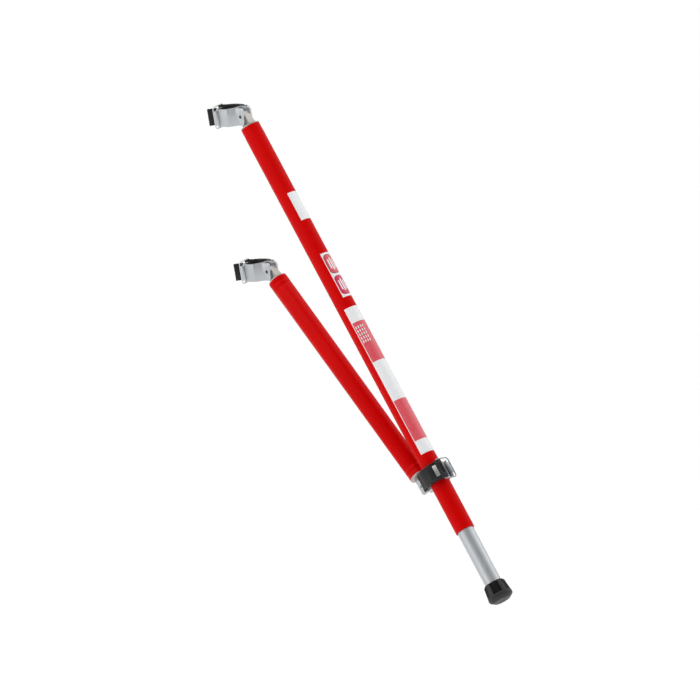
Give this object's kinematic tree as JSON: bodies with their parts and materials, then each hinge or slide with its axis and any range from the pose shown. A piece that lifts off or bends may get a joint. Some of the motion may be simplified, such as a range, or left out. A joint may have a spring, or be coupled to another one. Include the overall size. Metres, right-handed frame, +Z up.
{
  "type": "ladder stabilizer",
  "caption": "Telescopic outrigger leg with a shorter brace, quick-release clamps for a ladder stile on both and a clamp collar joining them, on a rubber foot.",
  "frame": {"origin": "centre of the leg clamp's grip, on the axis of the ladder stile it holds", "axes": "+Z up along the ladder stile, +X the way the leg and the brace splay, Y along the pivot pins"},
  "size_m": [0.8128, 0.081, 1.2622],
  "materials": {
    "red_powder_coat": "glossy powder coat",
    "clamp_aluminium": "satin extruded",
    "tongue_aluminium": "satin cast",
    "inner_aluminium": "satin anodised",
    "steel": "bright zinc plated",
    "black_plastic": "fine grained moulding",
    "rubber": "matt",
    "nylon": "smooth moulding"
  },
  "bodies": {
    "leg_clamp": {"leg_clamp_body": "clamp_aluminium", "leg_clamp_hinge_pin": "steel", "leg_clamp_pivot_pin": "steel", "leg_clamp_pad": "rubber"},
    "leg_clamp_jaw": {"leg_clamp_jaw": "black_plastic", "leg_clamp_lever_pin": "steel", "leg_clamp_jaw_pad": "rubber"},
    "leg_clamp_lever": {"leg_clamp_lever": "black_plastic", "leg_clamp_lever_plate": "steel"},
    "leg_clamp_bail": {"leg_clamp_bail": "steel"},
    "leg": {"leg_tube": "red_powder_coat", "leg_plug": "tongue_aluminium", "guide_bush": "nylon"},
    "expander": {"expander_shoe": "nylon"},
    "inner_leg": {"inner_tube": "inner_aluminium", "expander_cone": "steel", "foot": "rubber", "foot_plug": "nylon"},
    "collar_liner": {"collar_liner": "nylon"},
    "collar": {"collar_body": "clamp_aluminium", "collar_hinge_pin": "steel", "collar_pivot_pin": "steel"},
    "collar_jaw": {"collar_jaw": "black_plastic", "collar_lever_pin": "steel"},
    "collar_lever": {"collar_lever": "black_plastic", "collar_lever_plate": "steel"},
    "collar_bail": {"collar_bail": "steel"},
    "brace": {"brace_tube": "red_powder_coat", "brace_top_plug": "tongue_aluminium", "brace_bottom_plug": "tongue_aluminium"},
    "brace_clamp": {"brace_clamp_body": "clamp_aluminium", "brace_clamp_hinge_pin": "steel", "brace_clamp_pivot_pin": "steel", "brace_clamp_pad": "rubber"},
    "brace_clamp_jaw": {"brace_clamp_jaw": "black_plastic", "brace_clamp_lever_pin": "steel", "brace_clamp_jaw_pad": "rubber"},
    "brace_clamp_lever": {"brace_clamp_lever": "black_plastic", "brace_clamp_lever_plate": "steel"},
    "brace_clamp_bail": {"brace_clamp_bail": "steel"}
  },
  "joints": [
    {"name": "leg_clamp_jaw_open", "type": "hinge", "parent": "leg_clamp", "child": "leg_clamp_jaw", "pos_m": [0.036, 0.021, 0], "axis": [0, 0, -1], "range_deg": [0, 48]},
    {"name": "leg_clamp_lever_turn", "type": "hinge", "parent": "leg_clamp_jaw", "child": "leg_clamp_lever", "pos_m": [-0.042, 0.004, 0], "axis": [0, 0, 1], "range_deg": [0, 120]},
    {"name": "leg_clamp_bail_swing", "type": "hinge", "parent": "leg_clamp_lever", "child": "leg_clamp_bail", "pos_m": [-0.04172, 0.012, 0], "axis": [0, 0, -1], "range_deg": [0, 168]},
    {"name": "leg_pivot", "type": "hinge", "parent": "leg_clamp", "child": "leg", "pos_m": [0.052, 0, 0], "axis": [0, -1, 0], "range_deg": [-27, 91]},
    {"name": "leg_telescope", "type": "slide", "parent": "leg", "child": "expander", "axis": [0.4848, 0, -0.8746], "range_m": [-0.13, 0.45]},
    {"name": "inner_twist", "type": "hinge", "parent": "expander", "child": "inner_leg", "pos_m": [0.2944, 0, -0.43731], "axis": [0.4848, 0, -0.8746], "range_deg": [-90, 90]},
    {"name": "collar_slide", "type": "slide", "parent": "leg", "child": "collar_liner", "axis": [0.4848, 0, -0.8746], "range_m": [-0.12, 0.1]},
    {"name": "collar_jaw_open", "type": "hinge", "parent": "collar", "child": "collar_jaw", "pos_m": [0.52365, -0.021, -0.92513], "axis": [0.4848, 0, -0.8746], "range_deg": [0, 48]},
    {"name": "collar_lever_turn", "type": "hinge", "parent": "collar_jaw", "child": "collar_lever", "pos_m": [0.59187, -0.004, -0.88732], "axis": [-0.4848, 0, 0.8746], "range_deg": [0, 120]},
    {"name": "collar_bail_swing", "type": "hinge", "parent": "collar_lever", "child": "collar_bail", "pos_m": [0.59162, -0.012, -0.88745], "axis": [0.4848, 0, -0.8746], "range_deg": [0, 168]},
    {"name": "collar_turn", "type": "hinge", "parent": "collar_liner", "child": "collar", "pos_m": [0.55514, 0, -0.90768], "axis": [0.4848, 0, -0.8746], "range_deg": [-90, 90]},
    {"name": "brace_pivot", "type": "hinge", "parent": "collar", "child": "brace", "pos_m": [0.50965, 0, -0.93289], "axis": [0, -1, 0], "range_deg": [-10, 60]},
    {"name": "brace_clamp_jaw_open", "type": "hinge", "parent": "brace_clamp", "child": "brace_clamp_jaw", "pos_m": [0.036, 0.021, -0.3936], "axis": [0, 0, -1], "range_deg": [0, 48]},
    {"name": "brace_clamp_lever_turn", "type": "hinge", "parent": "brace_clamp_jaw", "child": "brace_clamp_lever", "pos_m": [-0.042, 0.004, -0.3936], "axis": [0, 0, 1], "range_deg": [0, 120]},
    {"name": "brace_clamp_bail_swing", "type": "hinge", "parent": "brace_clamp_lever", "child": "brace_clamp_bail", "pos_m": [-0.04172, 0.012, -0.3936], "axis": [0, 0, -1], "range_deg": [0, 168]},
    {"name": "brace_clamp_pivot", "type": "hinge", "parent": "brace", "child": "brace_clamp", "pos_m": [0.052, 0, -0.3936], "axis": [0, 1, 0], "range_deg": [-38, 50]}
  ],
  "couplings": [
    {"joint": "leg_clamp_jaw_open", "follows": "leg_clamp_lever_turn", "ratio": 0.4},
    {"joint": "leg_clamp_bail_swing", "follows": "leg_clamp_lever_turn", "ratio": 1.4},
    {"joint": "collar_jaw_open", "follows": "collar_lever_turn", "ratio": 0.4},
    {"joint": "collar_bail_swing", "follows": "collar_lever_turn", "ratio": 1.4},
    {"joint": "brace_clamp_jaw_open", "follows": "brace_clamp_lever_turn", "ratio": 0.4},
    {"joint": "brace_clamp_bail_swing", "follows": "brace_clamp_lever_turn", "ratio": 1.4}
  ]
}
